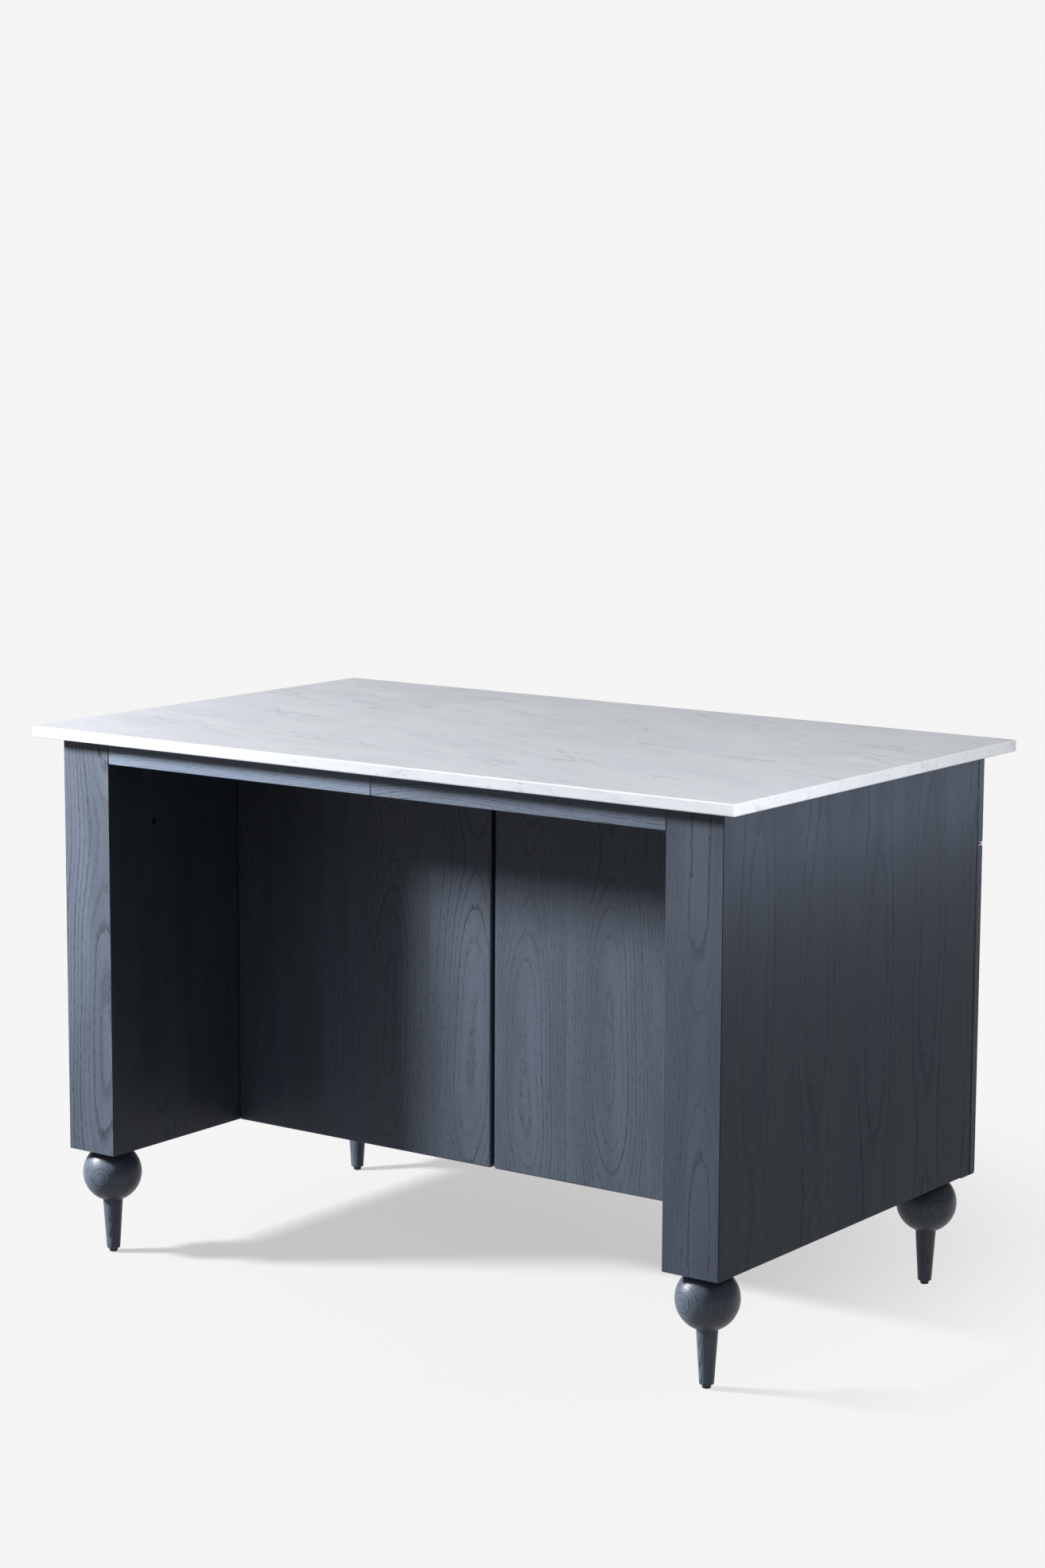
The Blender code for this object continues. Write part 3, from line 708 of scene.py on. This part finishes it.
def put_in_place_of(node, mesh, place, material):
    """A copy of a turned mesh that stands for a CAD node."""
    here = mesh.copy()
    here.transform(Matrix.Translation(place))
    body = frame["nodes"][node]["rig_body"]
    piece = add_piece("turned_" + node, here, material, body)
    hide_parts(node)


def make_feet():
    """Ball and peg feet, turned from solid wood so that the ball's side shows a ring figure."""
    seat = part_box("end_panel_left")[0].z - GAP
    foot_low, foot_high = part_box("foot_front_left")
    cut = math.degrees(math.acos((seat - BALL_HEIGHT) / BALL_RADIUS))
    waist = 180 - math.degrees(math.asin(PEG_TOP_RADIUS / BALL_RADIUS))
    profile = [(0, foot_high.z), (TENON_RADIUS, foot_high.z), (TENON_RADIUS, seat)]
    profile += arc((0, BALL_HEIGHT), BALL_RADIUS, cut, waist, 40)
    profile += [(PEG_TOP_RADIUS - NECK_CUT, profile[-1][1] - NECK_HEIGHT)]
    round_edge = (PEG_BOTTOM_RADIUS - PEG_EDGE, foot_low.z + PEG_EDGE)
    profile += arc(round_edge, PEG_EDGE, 90, 180, 6)
    profile += [(0, foot_low.z)]
    mesh = turned("turned_foot", profile)
    for word, angle in FOOT_FACING.items():
        node = "foot_" + word
        axis = middle_of(node)
        turn = math.radians(90 - angle)
        centre = Vector((axis.x, axis.y, BALL_HEIGHT))
        material = oak_material(
            "oak_" + node,
            UPRIGHT_FRONT,
            centre,
            LEAF_TURNED,
            11.0 + angle,
            # painted light: the feet painted lighter, the front right one most
            painted_light=FOOT_PAINTED_LIGHT_FRONT_RIGHT if word == "front_right" else FOOT_PAINTED_LIGHT,
            gloss=FOOT_GLOSS,
            turn=turn,
            **FOOT_FIGURE,
        )
        place = Vector((axis.x, axis.y, 0))
        put_in_place_of(node, mesh, place, material)


def make_knobs():
    """Ball knobs on tapered necks, which flare where they meet the front."""
    profile = [(0, KNOB_PROJECTION)]
    ball = (0, KNOB_PROJECTION - KNOB_RADIUS)
    waist = 180 - math.degrees(math.asin(KNOB_NECK_RADIUS / KNOB_RADIUS))
    profile += arc(ball, KNOB_RADIUS, 6, waist, 28)
    flare = KNOB_BASE_RADIUS - KNOB_NECK_RADIUS
    neck_end = GAP + KNOB_EDGE
    steps = 8
    start = profile[-1][1]
    for i in range(1, steps + 1):
        share = i / steps
        radius = KNOB_NECK_RADIUS + flare * share**KNOB_FLARE_POWER
        profile.append((radius, start + (neck_end - start) * share))
    profile += [(KNOB_BASE_RADIUS - KNOB_EDGE, GAP), (0, GAP)]
    mesh = turned("turned_knob", profile, 64)
    mesh.transform(Matrix.Rotation(-math.pi / 2, 4, "X"))
    for number, node in enumerate(sorted(name for name in frame["nodes"] if "knob" in name)):
        axis = middle_of(node)
        place = Vector((axis.x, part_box(node)[0].y - GAP, axis.z))
        material = oak_material(
            "oak_" + node,
            LYING_DEEP,
            axis,
            LEAF_TURNED,
            31.0 + number,
            gloss=KNOB_GLOSS,
            **KNOB_FIGURE,
        )
        put_in_place_of(node, mesh, place, material)


def screw_head(name, radius, height):
    """A domed head with a socket, from its seat at zero up."""
    socket, depth = radius * SOCKET_RADIUS, height * SOCKET_DEPTH
    rim = [(socket, height - depth), (socket, height * SOCKET_RIM)]
    steps = 6
    for i in range(steps + 1):
        share = i / steps
        out = socket + (radius - socket) * math.sin(share * math.pi / 2)
        up = HEAD_EDGE + (1 - HEAD_EDGE) * math.cos(share * math.pi / 2)
        rim.append((out, height * up))
    return turned(name, [(0, height - depth)] + rim + [(radius, 0), (0, 0)], 32)


def place_copy(name, mesh, turn, place, material, body):
    """A copy of a small turned piece, turned and moved to its place."""
    here = mesh.copy()
    here.transform(Matrix.Translation(place) @ turn)
    add_piece(name, here, material, body)


def make_knob_screws(steel):
    """The screw that holds each knob, behind its front."""
    head = screw_head("knob_screw", KNOB_SCREW_RADIUS, KNOB_SCREW_HEIGHT)
    backward = Matrix.Rotation(math.pi / 2, 4, "X")
    for name, node in frame["nodes"].items():
        if "knob" in name:
            board = name.replace("door_knob", "door").replace("drawer_knob", "drawer_front")
            axis = middle_of(name)
            place = Vector((axis.x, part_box(board)[0].y, axis.z))
            body = node["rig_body"]
            place_copy("screw_" + name, head, backward, place, steel, body)


def make_shelf_pins(steel):
    """Pins with a collar that carry the shelves."""
    radius, length, edge = PIN_RADIUS, PIN_LENGTH, PIN_EDGE
    collar, thick = PIN_COLLAR_RADIUS, PIN_COLLAR_THICKNESS
    profile = [(0, length), (radius - edge, length), (radius, length - edge), (radius, thick)]
    profile += [(collar - edge, thick), (collar, thick - edge), (collar, 0), (0, 0)]
    pin = turned("shelf_pin", profile, 32)
    for word in SIDES:
        low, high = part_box("shelf_" + word)
        height = low.z - GAP - radius
        for wall, x, way in (("low", low.x, 1), ("high", high.x, -1)):
            turn = Matrix.Rotation(way * math.pi / 2, 4, "Y")
            for row, y in (("front", high.y - PIN_FROM_EDGE), ("rear", low.y + PIN_FROM_EDGE)):
                name = f"shelf_pin_{word}_{wall}_{row}"
                place_copy(name, pin, turn, Vector((x, y, height)), steel, "root")


def make_door_bumpers(plastic):
    """Soft dots on the doors' backs, where they meet the cabinet's floor and the rail."""
    points = arc((0, 0), 1.0, 0, 90, 8)
    profile = [(BUMPER_RADIUS * out, BUMPER_HEIGHT * up) for out, up in points]
    dot = turned("bumper", profile + [(0, 0)], 32)
    backward = Matrix.Rotation(math.pi / 2, 4, "X")
    floor_low, floor_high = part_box("cabinet_floor")
    rail_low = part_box("drawer_rail_left")[0]
    for name, node in frame["nodes"].items():
        if not name.startswith(("door_inner", "door_outer")):
            continue
        low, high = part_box(name)
        body = node["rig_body"]
        free_is_low = ("outer" in name) == ("right" in name)
        x = low.x + BUMPER_FROM_EDGE if free_is_low else high.x - BUMPER_FROM_EDGE
        heights = {"low": (floor_low.z + floor_high.z) / 2, "high": (rail_low.z + high.z) / 2}
        for end, z in heights.items():
            place = Vector((x, low.y, z))
            place_copy(f"bumper_{name}_{end}", dot, backward, place, plastic, body)


def make_pivot_screws(steel):
    """Screws that hold the lower pivot plates under the cabinet."""
    head = screw_head("pivot_screw", PIVOT_SCREW_RADIUS, PIVOT_SCREW_HEIGHT)
    down = Matrix.Rotation(math.pi, 4, "X")
    for word in ("left", "centre", "right"):
        low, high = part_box("pivot_bottom_" + word)
        columns = ((low.x + high.x) / 2,)
        if word == "centre":
            columns = (low.x + PIVOT_SCREW_FROM_SIDE, high.x - PIVOT_SCREW_FROM_SIDE)
        for column, x in enumerate(columns):
            for row, y in enumerate(low.y + inset for inset in PIVOT_SCREW_FROM_BACK):
                place = Vector((x, y, low.z))
                name = f"pivot_screw_{word}_{column}_{row}"
                place_copy(name, head, down, place, steel, "root")


def make_camera():
    """A long lens at the front right corner, somewhat above the top."""
    camera = bpy.data.objects.new("camera", bpy.data.cameras.new("camera"))
    bpy.context.scene.collection.objects.link(camera)
    camera.data.sensor_width = CAMERA_SENSOR
    camera.data.lens = CAMERA_LENS
    camera.data.clip_end = 200.0
    turn = Matrix.Rotation(CAMERA_YAW, 4, "Z")
    turn @= Matrix.Rotation(math.radians(90) + CAMERA_PITCH, 4, "X")
    turn @= Matrix.Rotation(CAMERA_ROLL, 4, "Z")
    camera.matrix_world = Matrix.Translation(CAMERA_PLACE) @ turn
    bpy.context.scene.camera = camera


def make_floor():
    """A pale floor that runs out of sight.

    Near the object a lamp makes part of its white, so that shadows show. The paint gets lighter
    with the distance from the key, which keeps that part even. A glow makes the rest of the
    white, and all of it farther off.
    """
    bm = bmesh.new()
    bmesh.ops.create_grid(bm, x_segments=1, y_segments=1, size=FLOOR_HALF)
    mesh = bpy.data.meshes.new("floor")
    bm.to_mesh(mesh)
    bm.free()
    floor = bpy.data.objects.new("floor", mesh)
    floor.location.z = -FLOOR_BELOW
    bpy.context.scene.collection.objects.link(floor)
    material, shader, s = new_material("floor_paint")
    place = s.node("ShaderNodeTexCoord").outputs["Object"]
    xyz = s.node("ShaderNodeSeparateXYZ", {0: place}).outputs
    from_key = s.node("ShaderNodeVectorMath", {0: place, 1: KEY_PLACE}, operation="DISTANCE")
    cubed = s.math("POWER", from_key.outputs["Value"], 3.0)
    near = s.step(xyz["X"], *FLOOR_FADE_X, 1.0, 0.0)
    near = s.times(near, s.step(xyz["Y"], *FLOOR_FADE_Y, 1.0, 0.0))
    near = s.times(near, s.step(cubed, *FLOOR_FADE_CUBED, 1.0, 0.0))
    grey = s.times(near, s.times(cubed, FLOOR_COLOUR))
    lamps = s.add(s.times(near, FLOOR_LIGHT), s.times(grey, FLOOR_FILL))
    glow = s.math("SUBTRACT", STUDIO_WHITE, lamps)
    s.feed(shader.inputs["Base Color"], s.vector(grey, grey, grey))
    warm = s.times(glow, s.add(1.0, s.times(near, FLOOR_WARMTH)))
    s.feed(shader.inputs["Emission Color"], s.vector(warm, glow, glow))
    shader.inputs["Emission Strength"].default_value = 1.0
    shader.inputs["Roughness"].default_value = 1.0
    shader.inputs["Specular IOR Level"].default_value = 0.0
    mesh.materials.append(material)
    floor.visible_diffuse = False
    floor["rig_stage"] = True
    return floor


def add_lamp(name, kind, place, size, power, target, lit):
    """A soft lamp that lights only the given objects. size is a disk's width, or two sides."""
    light = bpy.data.lights.new(name, kind)
    light.energy = power
    if kind == "AREA" and isinstance(size, tuple):
        light.shape = "RECTANGLE"
        light.size, light.size_y = size
    elif kind == "AREA":
        light.shape = "DISK"
        light.size = size
    else:
        light.shadow_soft_size = size / 2
    lamp = bpy.data.objects.new(name, light)
    lamp.location = place
    lamp.rotation_euler = (target - place).to_track_quat("-Z", "Y").to_euler()
    bpy.context.scene.collection.objects.link(lamp)
    receivers = bpy.data.collections.new("lit_by_" + name)
    for thing in lit:
        receivers.objects.link(thing)
    lamp.light_linking.receiver_collection = receivers
    lamp.visible_camera = False
    return lamp


def make_lights(floor):
    """A key light at the front left, and soft fills for the stone, the doors and the right end.

    The stone and the floor have lamps of their own in the key's place, at their own strength.
    """
    stone = frame["nodes"]["marble_top"]
    right_end = [frame["nodes"][name] for name in LIT_FROM_RIGHT]
    rest = [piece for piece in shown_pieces() if piece != stone]
    add_lamp("key", "AREA", KEY_PLACE, KEY_SIZE, KEY_POWER, KEY_AIM, rest)
    add_lamp("stone_key", "AREA", KEY_PLACE, KEY_SIZE, STONE_KEY_POWER, KEY_AIM, [stone])
    add_lamp("floor_key", "POINT", KEY_PLACE, KEY_SIZE, FLOOR_POWER, KEY_AIM, [floor])
    aim = middle_of("marble_top")
    add_lamp(
        "stone_fill", "AREA", STONE_FILL_PLACE, STONE_FILL_SIZE, STONE_FILL_POWER, aim, [stone]
    )
    behind = [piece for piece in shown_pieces() if piece.name.startswith(LIT_FROM_BEHIND)]
    add_lamp("door_fill", "AREA", DOOR_FILL_PLACE, DOOR_FILL_SIZE, DOOR_FILL_POWER, KEY_AIM, behind)
    place = Vector((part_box("end_panel_right")[1].x + END_FILL_REACH, 0, END_FILL_HEIGHT))
    aim = place - Vector((1, 0, 0))
    lamp = add_lamp("end_fill", "AREA", place, END_FILL_SIZE, END_FILL_POWER, aim, right_end)
    lamp.visible_glossy = False


def make_surroundings():
    """White backdrop to the camera, and as fill a room that is lighter above and to the left."""
    world = bpy.data.worlds.new("studio")
    bpy.context.scene.world = world
    world.use_nodes = True
    world.node_tree.nodes.clear()
    s = Shading(world.node_tree)
    direction = s.node("ShaderNodeTexCoord").outputs["Generated"]
    xyz = s.node("ShaderNodeSeparateXYZ", {0: direction}).outputs
    fill = s.mix(s.step(xyz["Z"], 0.0, 0.8), ROOM_BELOW, ROOM_ABOVE)
    fill = s.brighten(fill, s.step(xyz["X"], -0.3, 0.8, 1.0, ROOM_RIGHT))
    room = s.node("ShaderNodeBackground", {"Color": fill})
    white = (STUDIO_WHITE, STUDIO_WHITE, STUDIO_WHITE, 1.0)
    backdrop = s.node("ShaderNodeBackground", {"Color": white})
    seen = s.node("ShaderNodeLightPath").outputs["Is Camera Ray"]
    both = s.node("ShaderNodeMixShader", {0: seen, 1: room.outputs[0], 2: backdrop.outputs[0]})
    s.node("ShaderNodeOutputWorld", {"Surface": both.outputs[0]})


make_camera()
finish_boards()
finish_other_nodes()
make_feet()
make_knobs()
ease_edges()
make_lights(make_floor())
make_surroundings()
bpy.context.scene.view_settings.view_transform = "Standard"
